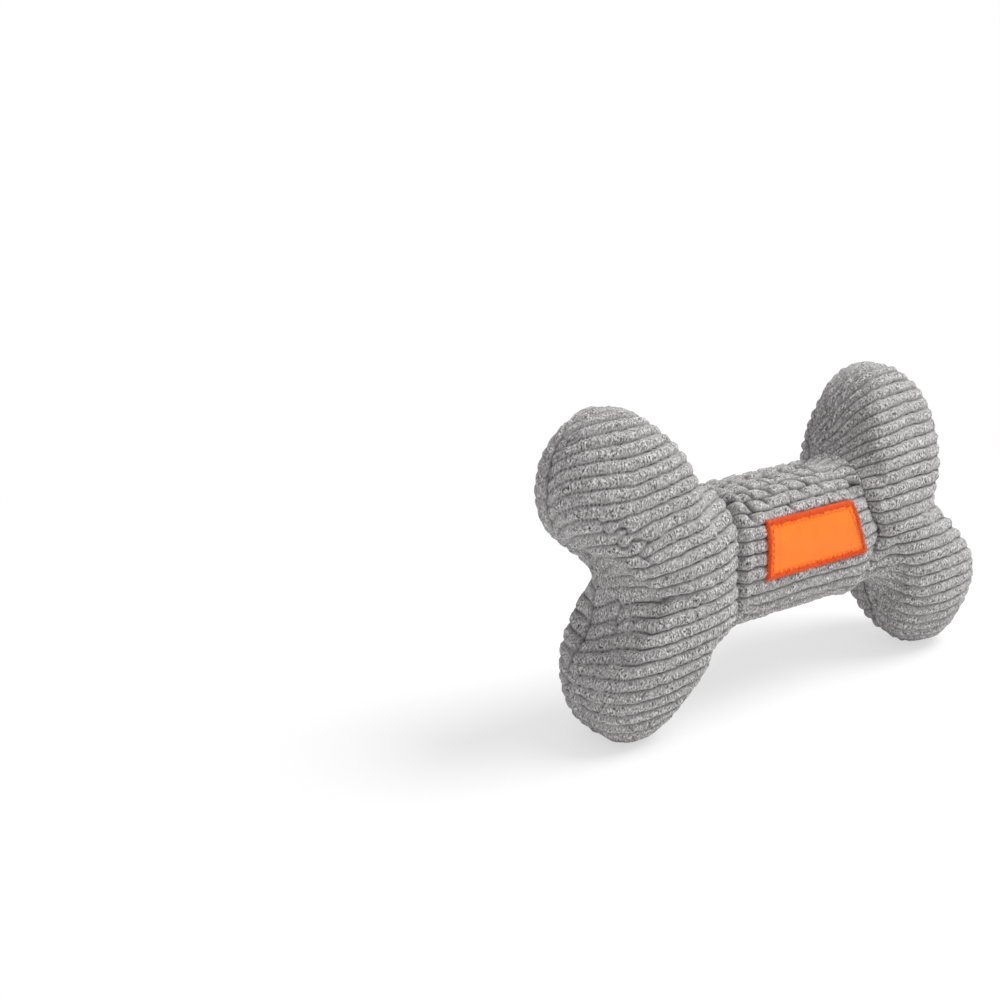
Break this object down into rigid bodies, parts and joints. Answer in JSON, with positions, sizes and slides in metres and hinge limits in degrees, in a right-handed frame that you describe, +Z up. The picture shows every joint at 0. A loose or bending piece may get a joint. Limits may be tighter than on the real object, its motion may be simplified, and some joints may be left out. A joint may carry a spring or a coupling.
{
  "type": "squeaky dog toy",
  "caption": "Stuffed bone-shaped dog toy in grey wide-ribbed corduroy with an orange label on its shaft and a squeezable squeaker inside; stands on edge on its lower lobes.",
  "frame": {"origin": "on the floor under the middle of the part's box, as it stands on its two lower lobes", "axes": "+X along the bone towards its turned head, -Y out of the label, +Z up"},
  "size_m": [0.2444, 0.0558, 0.1374],
  "materials": {
    "corduroy": "wide-wale corduroy with a soft heathered pile",
    "grey_thread": "matt sewing thread",
    "label_satin": "smooth woven satin",
    "label_thread": "overlock thread",
    "fibre": "loose polyester fibre",
    "bulb_plastic": "blow-moulded, slightly waxy",
    "whistle_plastic": "moulded, smooth",
    "reed_film": "thin film"
  },
  "bodies": {
    "body": {"front_panel": "corduroy", "back_panel": "corduroy", "seam_thread": "grey_thread", "closing_thread": "grey_thread", "left_upper_fill": "fibre", "left_lower_fill": "fibre", "right_upper_fill": "fibre", "right_lower_fill": "fibre", "shaft_fill": "fibre", "squeaker_bulb": "bulb_plastic", "whistle_barrel": "whistle_plastic", "reed_block": "whistle_plastic", "reed_clamp": "whistle_plastic"},
    "front_press": {"label_patch": "label_satin", "label_border": "label_thread", "label_stitch": "label_thread", "front_pad": "fibre"},
    "back_press": {"back_pad": "fibre"},
    "reed_tongue": {"reed": "reed_film"}
  },
  "joints": [
    {"name": "front_squeeze", "type": "slide", "parent": "body", "child": "front_press", "axis": [0, 1, 0], "range_m": [0, 0.008], "stiffness_N_per_m": 600, "deforming": ["front_panel", "back_panel", "shaft_fill", "squeaker_bulb"]},
    {"name": "back_squeeze", "type": "slide", "parent": "body", "child": "back_press", "axis": [0, -1, 0], "range_m": [0, 0.008], "stiffness_N_per_m": 600, "deforming": ["front_panel", "back_panel", "shaft_fill", "squeaker_bulb"]},
    {"name": "reed_flutter", "type": "hinge", "parent": "body", "child": "reed_tongue", "pos_m": [0.0245, 0.0003, 0.0674], "axis": [0, 1, 0], "range_deg": [0, 6], "stiffness_Nm_per_rad": 0.0004}
  ],
  "couplings": [
    {"joint": "back_squeeze", "follows": "front_squeeze", "ratio": 1}
  ]
}
